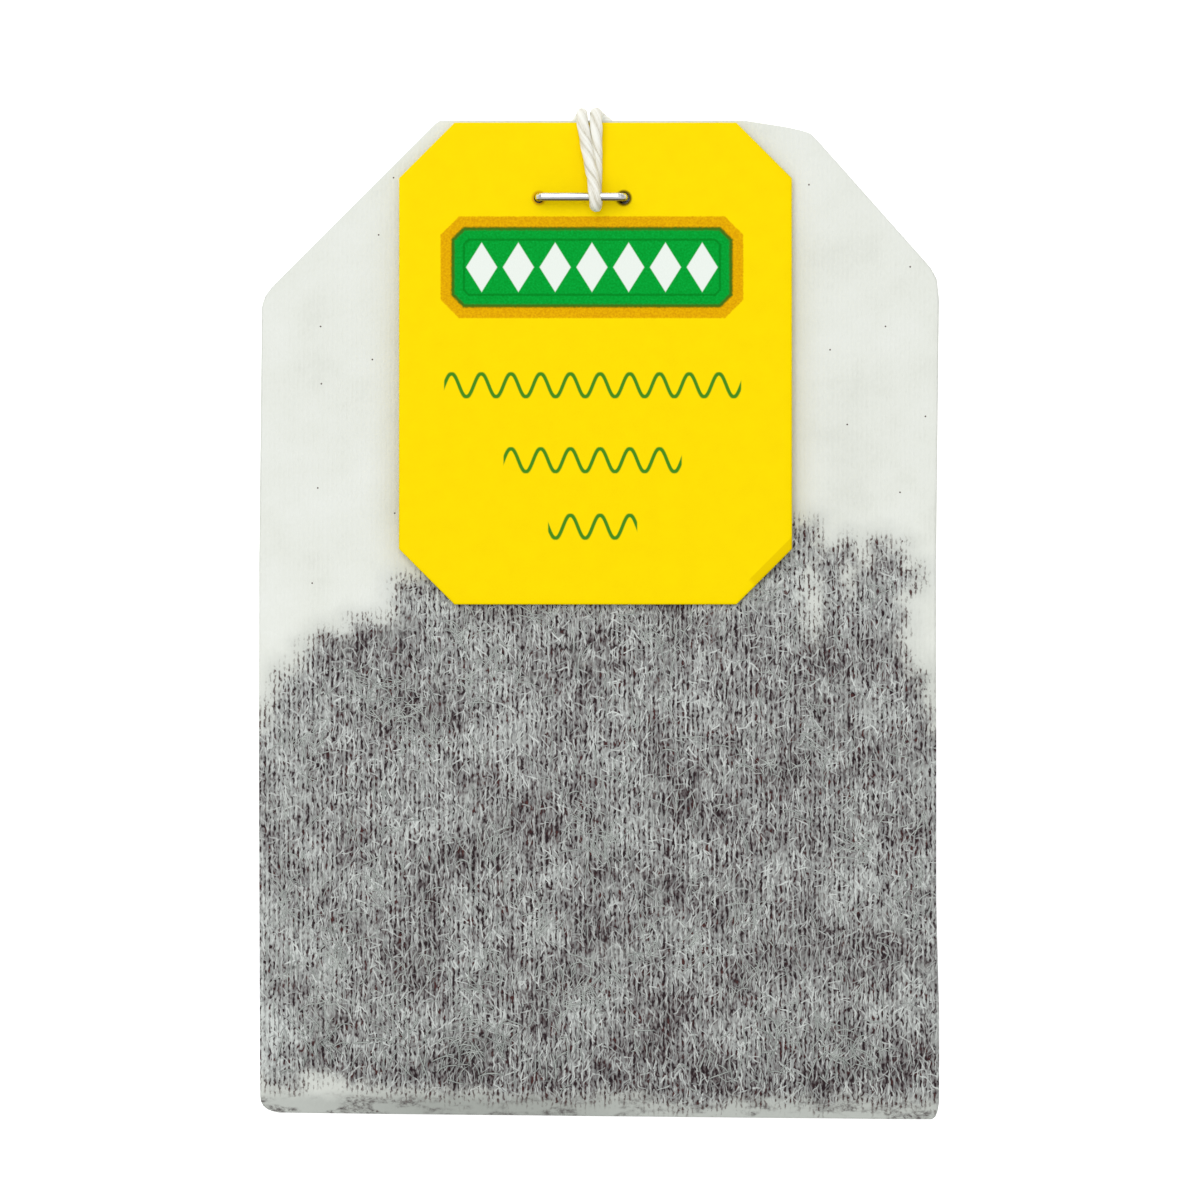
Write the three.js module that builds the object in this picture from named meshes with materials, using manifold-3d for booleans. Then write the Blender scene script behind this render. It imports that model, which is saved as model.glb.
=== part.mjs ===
// A double-chamber tea bag lying on its back: one strip of filter paper folded into two pouches,
// a bed of tea in each, a card tag, two wire staples and the cotton string between tag and bag.
// Millimetres. +X is the width, +Y runs to the tag end, +Z is up through the thickness.
import * as THREE from 'three';
import { mergeVertices } from 'three/addons/utils/BufferGeometryUtils.js';
import Module from 'manifold-3d';

// Outline of the folded bag: x of its left and right edges at heights y, as [y, x]
const BAG_LENGTH = 70.8;
const LEFT_EDGE = [
  [-35.4, -22.8], [-35.3, -23.35], [-35.0, -23.8], [-34.5, -24.0], [-10, -24.1], [4, -24.1],
  [22.5, -23.9], [23.6, -23.2], [35.1, -11.7], [35.4, -11.3],
];
const RIGHT_EDGE = [
  [-35.4, 23.6], [-35.1, 23.9], [-34.2, 24.1], [-28, 24.1], [-20, 23.9], [4, 23.9], [22.8, 24.1],
  [25.0, 23.5], [34.4, 15.1], [34.7, 14.4], [34.95, 13.3], [35.4, 10.4],
];
const HALF = 24.1; // reach of the widest points of both edges

// Pouches
const WALL = 0.1; // crimped filter paper, two plies where it is seamed
const FULL = 2.5; // depth of a pouch over the tea
const BACK_EXTRA = 0.45; // the back pouch is filled this much deeper
const FLAT = 0.4; // depth of an empty pouch
const FOOT_FILL = [-36.9, -28.4]; // heights over which a pouch fills up from the bottom edge
const HEAD_FILL = [-12, 9]; // heights over which it falls away to the empty top
const SIDE_DEPTH = 0.6; // depth of the side folds beside the tea
const MID_PLANE = 2.7; // height of the plane between the pouches
const POUCH_GAP = 0.25;
const TEA_GAP = 0.12; // between the tea and the paper around it
const GUSSET_HEIGHT = 10; // the W fold between the pouches, up from the bottom edge
const GUSSET_GROOVE = 0.8;

// Folds on the back, under the empty top of the bag
const CORNER_FOLD = { z0: 1.9, z1: 2.1, inner: 1.6 };
const TOP_FLAP = { z0: 1.45, z1: 1.8, length: 10, tipHalf: 1.9 };
const FOLD_SEAM = 0.35; // width of paper that turns round a folded edge

// Tag
const TAG_WIDTH = 27.8;
const TAG_LENGTH = 34.1;
const TAG_CHAMFER = 3.93;
const TAG_THICKNESS = 0.25;
const TAG_CENTRE_X = -0.25;
const TAG_TOP = 35.2;
const TAG_TILT = 0.012; // rise of the tag's underside per millimetre towards its lower edge

// Staples
const WIRE_RADIUS = 0.29;
const WIRE_SIDES = 12;
const WIRE_BEND = 0.4; // how far from a corner the wire starts to turn
const LEG_HOLE_RADIUS = 0.4;
const CLINCH_GAP = 0.02; // between the tag staple's folded legs and the card above them
const TAG_STAPLE = { left: -4.25, right: 1.75, y: 29.85, underside: 3.83, crown: 1.3, leg: 2.3 };
const BAG_STAPLE = { half: 3, y: 28.5, crown: 0.4, clinch: 3.55, leg: 2.5 };

// String
const STRING_RADIUS = 0.35;
const STRING_SIDES = 8;
const BIGHT_RADIUS = 0.65; // centreline of the loop round the tag staple's wire
const TABLE = 0.37; // centreline of a strand lying on the table
const HELD = 1.02; // centreline of a strand under the bag staple's crown

const wasm = await Module();
wasm.setup();

function toSolid(geometry) {
  const bare = geometry.clone();
  bare.deleteAttribute('normal');
  bare.deleteAttribute('uv');
  const merged = mergeVertices(bare, 1e-4);
  return new wasm.Manifold(new wasm.Mesh({
    numProp: 3,
    vertProperties: merged.attributes.position.array,
    triVerts: new Uint32Array(merged.index.array),
  }));
}

function toGeometry(solid) {
  const mesh = solid.getMesh();
  const geometry = new THREE.BufferGeometry();
  geometry.setAttribute('position', new THREE.BufferAttribute(mesh.vertProperties, 3));
  geometry.setIndex(new THREE.BufferAttribute(mesh.triVerts, 1));
  geometry.computeVertexNormals();
  return geometry;
}

// Outline of the bag ---------------------------------------------------------------------------

const TOP = BAG_LENGTH / 2;
const BOTTOM = -TOP;

// Straight-line value at position t of a list of [t, value] points.
function between(points, t) {
  const next = Math.min(Math.max(points.findIndex(([p]) => p >= t), 1), points.length - 1);
  const [t0, value0] = points[next - 1];
  const [t1, value1] = points[next];
  return value0 + (value1 - value0) * (t - t0) / (t1 - t0);
}

const leftEdge = (y) => between(LEFT_EDGE, y);
const rightEdge = (y) => between(RIGHT_EDGE, y);

// Depth of a pouch ---------------------------------------------------------------------------

const smooth = (a, b, t) => THREE.MathUtils.smoothstep(t, a, b);
const mix = THREE.MathUtils.lerp;

// u runs from -1 at the left side fold to +1 at the right one.
function depth(u, y, full) {
  const filled = smooth(...FOOT_FILL, y) * (1 - smooth(...HEAD_FILL, y));
  const crown = mix(FLAT, full, filled);
  const side = mix(FLAT, SIDE_DEPTH, filled);
  return mix(side, crown, (1 - u ** 4) ** 0.8);
}

const frontFloor = () => MID_PLANE + POUCH_GAP / 2;
const frontRoof = (u, y) => frontFloor() + depth(u, y, FULL);
const backRoof = () => MID_PLANE - POUCH_GAP / 2;
// The back pouch is flattened where it lies on the table.
const backFloor = (u, y) => Math.max(0, backRoof() - depth(u, y, FULL + BACK_EXTRA));

const FRONT = { floor: frontFloor, roof: frontRoof };
const BACK = { floor: backFloor, roof: backRoof };

// A closed body between two height fields: a box whose grid is mapped by place(u, v, side), with u
// from -1 to 1 across, v from 0 to 1 along and side -1 below, +1 above.
function pillow(columns, rows, place) {
  const geometry = new THREE.BoxGeometry(2, 2, 2, columns, rows, 1);
  const position = geometry.attributes.position;
  for (let i = 0; i < position.count; i += 1) {
    const u = Math.sin(position.getX(i) * Math.PI / 2);
    const v = (position.getY(i) + 1) / 2;
    const [x, y, z] = place(u, v, Math.sign(position.getZ(i)));
    position.setXYZ(i, x, y, z);
  }
  return geometry;
}

// Stations along the bag, close together where its edge or its depth turns.
const STATIONS = [
  BOTTOM, -35.1, -34.8, -34.0, -31.5, -28, -22, -14, -9, -5, -1, 3, 6, 9, 15, 22.6, 23.7, 25,
  34.4, 34.75, 35.05, TOP,
];

function station(v, stations) {
  const place = v * (stations.length - 1);
  const index = Math.min(Math.floor(place + 1e-6), stations.length - 2);
  return mix(stations[index], stations[index + 1], place - index);
}

// The body of a pouch, moved inwards by inset from its outer skin. Every inset has the same facets,
// so that one body lies clear inside another.
function pouchBody({ floor, roof }, inset, topY) {
  const stations = [BOTTOM + inset, ...STATIONS.slice(1, -1), topY];
  return toSolid(pillow(14, stations.length - 1, (u, v, side) => {
    const y = station(v, stations);
    const edgeY = Math.min(y, TOP);
    const x = mix(leftEdge(edgeY) + 2 * inset, rightEdge(edgeY) - 2 * inset, (u + 1) / 2);
    return [x, y, side < 0 ? floor(u, edgeY) + inset : roof(u, edgeY) - inset];
  }));
}

// The hollow runs out through the top edge, where the plies lie together unsealed.
function pouchShell(pouch) {
  return pouchBody(pouch, 0, TOP).subtract(pouchBody(pouch, WALL, TOP + 1));
}

// A flat plate with the given outline, from z0 to z1.
function plate(outline, z0, z1) {
  const shape = new THREE.Shape(outline.map(([x, y]) => new THREE.Vector2(x, y)));
  const geometry = new THREE.ExtrudeGeometry(shape, { depth: z1 - z0, bevelEnabled: false });
  return geometry.translate(0, 0, z0);
}

// The folds on the back stand in a little from the edges of the pouches.
const SET_BACK = 0.06;
const FOLD_FOOT = 22.7;
const FOLD_HEAD = TOP - SET_BACK;

// Points along a diagonal fold, moved inwards by the given distance.
const leftFold = (inset) => [
  [-23.9, FOLD_FOOT], [-23.2, 23.6], [-11.7, 35.1], [-11.3, FOLD_HEAD],
].map(([x, y]) => [x + inset + SET_BACK, y]);
const rightFold = (inset) => [
  [24.1, FOLD_FOOT], [23.5, 24.9], [15.1, 34.3], [14.2, 34.6], [12.2, 34.9], [9.7, FOLD_HEAD],
].map(([x, y]) => [x - inset - SET_BACK, y]);

function backFolds() {
  const { z0, z1, inner } = CORNER_FOLD;
  const { tipHalf, length } = TOP_FLAP;
  const seamTop = backRoof() - FLAT / 2;
  const flapFoot = TOP - length;
  const flapLeft = leftEdge(TOP) + 2 * SET_BACK;
  const flapRight = rightEdge(TOP) - 2 * SET_BACK;
  const seamFoot = FOLD_HEAD - FOLD_SEAM;
  const bodies = [
    // Top corners, folded to the back along the diagonals.
    plate([...leftFold(0), [-inner, FOLD_HEAD], [-inner, FOLD_FOOT]], z0, z1),
    plate([...rightFold(0), [inner, FOLD_HEAD], [inner, FOLD_FOOT]].reverse(), z0, z1),
    // Paper turning round the diagonal folds.
    plate([...leftFold(0), ...leftFold(FOLD_SEAM).reverse()], z0, seamTop),
    plate([...rightFold(FOLD_SEAM), ...rightFold(0).reverse()], z0, seamTop),
    // Top strip, folded down over the corners.
    plate([
      [flapLeft, FOLD_HEAD], [-tipHalf, flapFoot], [tipHalf, flapFoot], [flapRight, FOLD_HEAD],
    ], TOP_FLAP.z0, TOP_FLAP.z1),
    // Paper turning round the top edge.
    plate([
      [flapLeft + SET_BACK, FOLD_HEAD - SET_BACK], [flapLeft + FOLD_SEAM, seamFoot],
      [flapRight - FOLD_SEAM, seamFoot], [flapRight - SET_BACK, FOLD_HEAD - SET_BACK],
    ], TOP_FLAP.z0 + SET_BACK, backRoof() - FLAT + WALL / 2),
  ];
  return bodies.map(toSolid);
}

function gusset() {
  const foot = BOTTOM + GUSSET_GROOVE;
  const head = BOTTOM + GUSSET_HEIGHT;
  const reach = HALF - GUSSET_GROOVE;
  const lap = WALL / 2;
  return toSolid(plate([[-reach, foot], [reach, foot], [reach, head], [-reach, head]],
    backRoof() - lap, frontFloor() + lap));
}

function verticalPin(x, y, z0, z1, radius) {
  const geometry = new THREE.CylinderGeometry(radius, radius, z1 - z0, 16);
  geometry.rotateX(Math.PI / 2);
  return toSolid(geometry.translate(x, y, (z0 + z1) / 2));
}

function filterPaper() {
  let solid = pouchShell(BACK).add(pouchShell(FRONT)).add(gusset());
  for (const fold of backFolds()) {
    solid = solid.add(fold);
  }
  for (const x of [-BAG_STAPLE.half, BAG_STAPLE.half]) {
    solid = solid.subtract(verticalPin(x, BAG_STAPLE.y, 0, BAG_STAPLE.clinch, LEG_HOLE_RADIUS));
  }
  return toGeometry(solid);
}

// Tea ------------------------------------------------------------------------------------------

// Limits of the tea: the upper one, across the bag, lies higher on the right.
const TEA_LINE = [
  [-24.5, -7], [-22.7, -3.5], [-21, -1.8], [-17, -0.7], [-13, 1.5], [0, 4], [14, 5.5], [21, 5],
  [24.5, -3],
];
const TEA_FOOT = BOTTOM + 1.4;

function teaBed(pouch) {
  const region = [...TEA_LINE, [HALF, TEA_FOOT], [-HALF, TEA_FOOT]].reverse();
  const limit = toSolid(plate(region, 0, 2 * MID_PLANE));
  return toGeometry(pouchBody(pouch, WALL + TEA_GAP, TOP).intersect(limit));
}

// Tag ------------------------------------------------------------------------------------------

const tagUnderside = (y) => TAG_STAPLE.underside + (TAG_STAPLE.y - y) * TAG_TILT;

function tag() {
  const left = TAG_CENTRE_X - TAG_WIDTH / 2;
  const right = TAG_CENTRE_X + TAG_WIDTH / 2;
  const foot = TAG_TOP - TAG_LENGTH;
  const cut = TAG_CHAMFER;
  const card = plate([
    [left + cut, foot], [right - cut, foot], [right, foot + cut], [right, TAG_TOP - cut],
    [right - cut, TAG_TOP], [left + cut, TAG_TOP], [left, TAG_TOP - cut], [left, foot + cut],
  ], 0, TAG_THICKNESS);
  const position = card.attributes.position;
  for (let i = 0; i < position.count; i += 1) {
    position.setZ(i, position.getZ(i) + tagUnderside(position.getY(i)));
  }
  let solid = toSolid(card);
  for (const x of [TAG_STAPLE.left, TAG_STAPLE.right]) {
    solid = solid.subtract(verticalPin(x, TAG_STAPLE.y, TAG_STAPLE.underside - 1,
      TAG_STAPLE.underside + 1, LEG_HOLE_RADIUS));
  }
  return toGeometry(solid);
}

// Wires and string -------------------------------------------------------------------------------

// A closed round body along a polyline: one ring of vertices at each point, and a cap at each end.
function sweep(points, radius, sides) {
  const positions = [];
  const index = [];
  const last = points.length - 1;
  const across = new THREE.Vector3();
  points.forEach((point, i) => {
    const before = points[Math.max(i - 1, 0)];
    const after = points[Math.min(i + 1, last)];
    const along = after.clone().sub(before).normalize();
    if (i === 0) {
      across.set(along.y, -along.x, 0);
      if (across.lengthSq() < 1e-6) across.set(1, 0, 0);
    }
    across.addScaledVector(along, -across.dot(along)).normalize();
    const other = along.clone().cross(across);
    for (let s = 0; s < sides; s += 1) {
      const angle = s * 2 * Math.PI / sides;
      const rim = point.clone()
        .addScaledVector(across, radius * Math.cos(angle))
        .addScaledVector(other, radius * Math.sin(angle));
      positions.push(rim.x, rim.y, rim.z);
    }
  });
  for (let i = 0; i < last; i += 1) {
    for (let s = 0; s < sides; s += 1) {
      const a = i * sides + s;
      const b = i * sides + (s + 1) % sides;
      index.push(a, b, b + sides, a, b + sides, a + sides);
    }
  }
  for (let s = 1; s < sides - 1; s += 1) {
    index.push(0, s + 1, s);
    index.push(last * sides, last * sides + s, last * sides + s + 1);
  }
  const geometry = new THREE.BufferGeometry();
  geometry.setAttribute('position', new THREE.Float32BufferAttribute(positions, 3));
  geometry.setIndex(index);
  geometry.computeVertexNormals();
  return geometry;
}

// Points of a wire bent at each inner corner of a polyline.
function bentWire(corners) {
  const knots = corners.map((corner) => new THREE.Vector3(...corner));
  const points = [knots[0]];
  for (let i = 1; i < knots.length - 1; i += 1) {
    const corner = knots[i];
    const start = corner.clone().add(knots[i - 1].clone().sub(corner).setLength(WIRE_BEND));
    const end = corner.clone().add(knots[i + 1].clone().sub(corner).setLength(WIRE_BEND));
    points.push(...new THREE.QuadraticBezierCurve3(start, corner, end).getPoints(5));
  }
  points.push(knots[knots.length - 1]);
  return points;
}

function tagStaple() {
  const { left, right, y, underside, crown, leg } = TAG_STAPLE;
  const top = underside + crown;
  const clinch = underside - WIRE_RADIUS - CLINCH_GAP;
  return sweep(bentWire([
    [left + leg, y, clinch], [left, y, clinch], [left, y, top],
    [right, y, top], [right, y, clinch], [right - leg, y, clinch],
  ]), WIRE_RADIUS, WIRE_SIDES);
}

function bagStaple() {
  const { half, y, crown, clinch, leg } = BAG_STAPLE;
  return sweep(bentWire([
    [leg - half, y, clinch], [-half, y, clinch], [-half, y, crown],
    [half, y, crown], [half, y, clinch], [half - leg, y, clinch],
  ]), WIRE_RADIUS, WIRE_SIDES);
}

// The string is one length, doubled: its middle is looped round the tag staple's wire, both strands
// go over the top edge, lie folded under the back and end under the bag staple.
const WIRE_Z = TAG_STAPLE.underside + TAG_STAPLE.crown;
const STRING_ROUTE = [
  // From the bag staple down the back, round a turn and up again.
  [-1.1, 31.6, HELD], [-1.1, 28.5, HELD], [-1.15, 24.5, 0.7], [-1.2, 20, TABLE], [-1.2, 12, TABLE],
  [-1.2, 5.2, TABLE], [-1.6, 4.0, TABLE], [-2.55, 3.5, TABLE], [-3.5, 4.0, TABLE],
  [-3.9, 5.2, TABLE], [-3.9, 12, TABLE], [-3.9, 21, TABLE], [-3.8, 29, 0.42], [-3.2, 32.3, 0.55],
  [-2.1, 34.8, 0.65],
  // Over the top edge and up on to the staple's wire.
  [-1.35, 35.85, 1.3], [-1.22, 35.9, 2.5], [-1.2, 35.85, 3.8], [-1.18, 35.3, 4.5],
  [-0.95, 33.9, 4.68], [-0.68, 32.4, 5.05], [-0.42, 31.0, 5.45],
  // Round the wire.
  [-0.34, 30.25, WIRE_Z + 0.57], [-0.31, TAG_STAPLE.y, WIRE_Z + BIGHT_RADIUS],
  [-0.25, 29.35, WIRE_Z + 0.42], [-0.22, 29.2, WIRE_Z], [-0.2, 29.35, WIRE_Z - 0.42],
  [-0.18, TAG_STAPLE.y, WIRE_Z - BIGHT_RADIUS],
  // Back over the top edge.
  [-0.2, 32.5, 4.5], [-0.2, 35.3, 4.5], [-0.2, 35.85, 3.8], [-0.2, 35.9, 2.5], [0.1, 35.85, 1.3],
  [1.4, 34.8, 0.65],
  // Down the back, round a second turn and up to the bag staple.
  [3.1, 32.3, 0.55], [3.8, 29, 0.42], [3.9, 21, TABLE], [3.9, 12, TABLE], [3.9, 4.2, TABLE],
  [3.5, 3.0, TABLE], [2.55, 2.5, TABLE], [1.6, 3.0, TABLE], [1.2, 4.2, TABLE], [1.2, 12, TABLE],
  [1.2, 20, TABLE], [1.15, 24.5, 0.7], [1.1, 28.5, HELD], [1.1, 31.6, HELD],
];

function string() {
  const route = new THREE.CatmullRomCurve3(STRING_ROUTE.map((point) => new THREE.Vector3(...point)));
  return sweep(route.getPoints(3 * (STRING_ROUTE.length - 1)), STRING_RADIUS, STRING_SIDES);
}

// Assembly ---------------------------------------------------------------------------------------

function piece(name, geometry, color, roughness, metalness = 0) {
  const material = new THREE.MeshStandardMaterial({ color, roughness, metalness });
  const mesh = new THREE.Mesh(geometry, material);
  mesh.name = name;
  return mesh;
}

const TEA_COLOR = 0x3a2a20;
const WIRE_COLOR = 0xc9ccd0;

const teaBag = new THREE.Group();
teaBag.add(
  piece('filter_paper', filterPaper(), 0xe8ebe2, 0.9),
  piece('tea_leaves_front', teaBed(FRONT), TEA_COLOR, 0.95),
  piece('tea_leaves_back', teaBed(BACK), TEA_COLOR, 0.95),
  piece('tag', tag(), 0xffe200, 0.5),
  piece('tag_staple', tagStaple(), WIRE_COLOR, 0.25, 1),
  piece('bag_staple', bagStaple(), WIRE_COLOR, 0.25, 1),
  piece('string', string(), 0xf3efdf, 0.95),
);

export default teaBag;
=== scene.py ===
"""Looks of a double-chamber tea bag that lies on its back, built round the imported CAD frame.

Lengths in the tables and functions below are millimetres; a mesh is scaled to metres as it is made.
+X runs across the bag, +Y towards the end with the tag's staple, +Z up.
"""
import functools
import math
import random

import bmesh
import bpy
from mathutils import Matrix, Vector, noise


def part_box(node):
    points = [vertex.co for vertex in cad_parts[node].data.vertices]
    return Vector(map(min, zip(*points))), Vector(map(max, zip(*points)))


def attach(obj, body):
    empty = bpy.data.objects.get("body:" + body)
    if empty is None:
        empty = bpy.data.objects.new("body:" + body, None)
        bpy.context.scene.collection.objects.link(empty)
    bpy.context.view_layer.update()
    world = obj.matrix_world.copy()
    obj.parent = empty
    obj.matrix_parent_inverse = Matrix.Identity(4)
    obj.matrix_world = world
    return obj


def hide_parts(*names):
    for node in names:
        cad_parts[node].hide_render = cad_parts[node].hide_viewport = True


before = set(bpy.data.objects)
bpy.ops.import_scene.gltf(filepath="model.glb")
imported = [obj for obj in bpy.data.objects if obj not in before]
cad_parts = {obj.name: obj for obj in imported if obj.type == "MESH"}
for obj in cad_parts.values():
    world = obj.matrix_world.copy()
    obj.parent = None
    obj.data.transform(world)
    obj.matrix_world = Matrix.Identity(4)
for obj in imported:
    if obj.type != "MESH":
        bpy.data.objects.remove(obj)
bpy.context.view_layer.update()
MM = 0.001


def box_mm(node):
    low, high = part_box(node)
    return [v / MM for v in low], [v / MM for v in high]


PAPER_LOW, PAPER_HIGH = box_mm("filter_paper")
TAG_TOP = box_mm("tag")[1][1]

# The tag's place, which the string, the tag's shade on the paper and the staple's holes share
TAG_HALF = (13.9, 17.05)
TAG_CENTRE = (-0.25, TAG_TOP - TAG_HALF[1])
TAG_CHAMFER = 3.93
TAG_UNDERSIDE = 3.83  # height at the staple
STAPLE_Y = 29.85
WIRE_Z = TAG_UNDERSIDE + 1.3  # centre of the tag staple's crown

# ----------------------------------------------------------------------
# Camera
# ----------------------------------------------------------------------
FRAME_WIDTH = 85.2  # width of the view at the height of the bag's outline
VIEW_CENTRE = (0.07, 1.42)
OUTLINE_Z = 2.7
LENS = 150.0
SENSOR = 36.0
CLIP = (0.01, 10.0)  # nearest and furthest points seen, in metres


def make_camera():
    data = bpy.data.cameras.new("camera")
    data.lens = LENS
    data.sensor_width = SENSOR
    data.clip_start, data.clip_end = CLIP
    camera = bpy.data.objects.new("camera", data)
    distance = LENS * FRAME_WIDTH / SENSOR
    camera.location = Vector((VIEW_CENTRE[0], VIEW_CENTRE[1], OUTLINE_Z + distance)) * MM
    bpy.context.scene.collection.objects.link(camera)
    bpy.context.scene.camera = camera


make_camera()


# ----------------------------------------------------------------------
# Meshes
# ----------------------------------------------------------------------
def link(name, mesh):
    piece = bpy.data.objects.new(name, mesh)
    bpy.context.scene.collection.objects.link(piece)
    return piece


def mesh_object(name, verts_mm, faces):
    """A smooth-shaded object from lists of vertices and faces."""
    mesh = bpy.data.meshes.new(name)
    mesh.from_pydata([(x * MM, y * MM, z * MM) for x, y, z in verts_mm], [], faces)
    mesh.polygons.foreach_set("use_smooth", [True] * len(mesh.polygons))
    mesh.update()
    return link(name, mesh)


def bmesh_object(name, built):
    """A flat-shaded object from a bmesh in millimetres, which is freed."""
    for vert in built.verts:
        vert.co *= MM
    mesh = bpy.data.meshes.new(name)
    built.to_mesh(mesh)
    built.free()
    return link(name, mesh)


def point_layer(piece, name, values):
    """Gives each vertex a number that the piece's material reads."""
    layer = piece.data.attributes.new(name, "FLOAT", "POINT")
    layer.data.foreach_set("value", values)


def mix(a, b, t):
    return a + (b - a) * t


def smoothstep(low, high, value):
    """0 below low and 1 above high, with a smooth rise between them."""
    t = min(max((value - low) / (high - low), 0.0), 1.0)
    return t * t * (3 - 2 * t)


def interpolate(points, x):
    """Straight-line value at x of a list of (x, y) points."""
    if x <= points[0][0]:
        return points[0][1]
    for (x0, y0), (x1, y1) in zip(points, points[1:]):
        if x <= x1:
            return mix(y0, y1, (x - x0) / (x1 - x0))
    return points[-1][1]


# ----------------------------------------------------------------------
# Node materials
# ----------------------------------------------------------------------
class Material:
    """A material with one Principled shader, and short calls for the nodes that feed it."""

    def __init__(self, name, **sockets):
        self.data = bpy.data.materials.new(name)
        self.data.use_nodes = True
        self.tree = self.data.node_tree
        self.shader = self.tree.nodes["Principled BSDF"]
        for label, value in sockets.items():
            self.set(label.replace("_", " "), value)
        coords = self.tree.nodes.new("ShaderNodeTexCoord").outputs["Object"]
        self.mm = self.vector("MULTIPLY", coords, (1 / MM, 1 / MM, 1 / MM))

    def feed(self, socket, value):
        """Links a node's output to the socket, or sets the socket to a number, vector or colour."""
        if isinstance(value, bpy.types.NodeSocket):
            self.tree.links.new(value, socket)
        elif value is not None:
            socket.default_value = (*value, 1.0) if socket.type == "RGBA" else value

    def set(self, label, value):
        self.feed(self.shader.inputs[label], value)

    def math(self, operation, a, b=None, c=None, clamp=False):
        node = self.tree.nodes.new("ShaderNodeMath")
        node.operation = operation
        node.use_clamp = clamp
        for socket, value in zip(node.inputs, (a, b, c)):
            self.feed(socket, value)
        return node.outputs[0]

    def vector(self, operation, a, b=None, scale=None):
        node = self.tree.nodes.new("ShaderNodeVectorMath")
        node.operation = operation
        self.feed(node.inputs[0], a)
        self.feed(node.inputs[1], b)
        if scale is not None:
            node.inputs["Scale"].default_value = scale
        return node.outputs[0]

    def split(self, vector):
        node = self.tree.nodes.new("ShaderNodeSeparateXYZ")
        self.feed(node.inputs[0], vector)
        return node.outputs

    def noise(self, vector, scale=1.0, detail=2.0, rough=0.5, colour=False):
        node = self.tree.nodes.new("ShaderNodeTexNoise")
        self.feed(node.inputs["Vector"], vector)
        node.inputs["Scale"].default_value = scale
        node.inputs["Detail"].default_value = detail
        node.inputs["Roughness"].default_value = rough
        return node.outputs["Color" if colour else "Fac"]

    def total(self, first, *others):
        for other in others:
            first = self.math("ADD", first, other)
        return first

    def spread(self, field, gain):
        """A field of 0 to 1, moved to lie round 0 and scaled."""
        return self.math("MULTIPLY", self.math("SUBTRACT", field, 0.5), gain)

    def away(self, value, centre):
        return self.math("ABSOLUTE", self.math("SUBTRACT", value, centre))

    def cut_box(self, x, y, centre, half, cut):
        """Signed distance to a box with its corners cut at 45 degrees, negative inside."""
        past_side = self.math("SUBTRACT", self.away(x, centre[0]), half[0])
        past_end = self.math("SUBTRACT", self.away(y, centre[1]), half[1])
        past_cut = self.math("MULTIPLY", self.total(past_side, past_end, cut), math.sqrt(0.5))
        return self.math("MAXIMUM", self.math("MAXIMUM", past_side, past_end), past_cut)

    def cells(self, vector):
        """Outputs of flat uneven cells about one unit wide."""
        node = self.tree.nodes.new("ShaderNodeTexVoronoi")
        node.voronoi_dimensions = "2D"
        self.feed(node.inputs["Vector"], vector)
        node.inputs["Scale"].default_value = 1.0
        return node.outputs

    def fibres(self, vector, cell, lean, half_width, length, shift):
        """One straight fibre in each of many uneven cells: its cover, 0 to 1, and a chance value.

        A fibre leans up to lean either way from the upright; shift makes one layer unlike another."""
        scaled = self.vector("MULTIPLY", vector, (1 / cell[0], 1 / cell[1], 0.0))
        place = self.vector("ADD", scaled, (shift, -shift, 0.0))
        cells = self.cells(place)
        offset = self.vector("SUBTRACT", place, cells["Position"])
        chances = self.split(cells["Color"])
        turn = self.tree.nodes.new("ShaderNodeVectorRotate")
        turn.rotation_type = "Z_AXIS"
        self.feed(turn.inputs["Vector"], self.vector("MULTIPLY", offset, (*cell, 0.0)))
        self.feed(turn.inputs["Angle"], self.math("MULTIPLY_ADD", chances[0], 2 * lean, -lean))
        across, along, _ = self.split(turn.outputs[0])
        body = self.ramp(self.math("ABSOLUTE", across), half_width, half_width * 0.4)
        ends = self.ramp(self.math("ABSOLUTE", along), length / 2, length * 0.35)
        return self.math("MULTIPLY", body, ends), chances[1]

    def ramp(self, value, low, high, to_low=0.0, to_high=1.0):
        """A smooth step from to_low at low to to_high at high."""
        node = self.tree.nodes.new("ShaderNodeMapRange")
        node.interpolation_type = "SMOOTHSTEP"
        for socket, item in zip(node.inputs, (value, low, high, to_low, to_high)):
            self.feed(socket, item)
        return node.outputs[0]

    def colours(self, value, stops):
        """The colour at value along a ramp of (position, colour) stops."""
        node = self.tree.nodes.new("ShaderNodeValToRGB")
        self.feed(node.inputs[0], value)
        elements = node.color_ramp.elements
        while len(elements) < len(stops):
            elements.new(0.5)
        for element, (position, rgb) in zip(elements, stops):
            element.position = position
            element.color = (*rgb, 1.0)
        return node.outputs[0]

    def blend(self, factor, a, b):
        """Colour a where factor is 0, and b where it is 1."""
        node = self.tree.nodes.new("ShaderNodeMix")
        node.data_type = "RGBA"
        self.feed(node.inputs["Factor"], factor)
        self.feed(node.inputs[6], a)
        self.feed(node.inputs[7], b)
        return node.outputs[2]

    def attribute(self, name):
        node = self.tree.nodes.new("ShaderNodeAttribute")
        node.attribute_name = name
        return node.outputs["Fac"]

    def bump(self, height, strength, distance_mm):
        node = self.tree.nodes.new("ShaderNodeBump")
        node.inputs["Strength"].default_value = strength
        node.inputs["Distance"].default_value = distance_mm * MM
        self.feed(node.inputs["Height"], height)
        self.tree.links.new(node.outputs[0], self.shader.inputs["Normal"])


def srgb(red, green, blue):
    """Linear colour of an 8-bit display colour."""
    def linear(value):
        value /= 255
        return value / 12.92 if value <= 0.04045 else ((value + 0.055) / 1.055) ** 2.4
    return (linear(red), linear(green), linear(blue))


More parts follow.
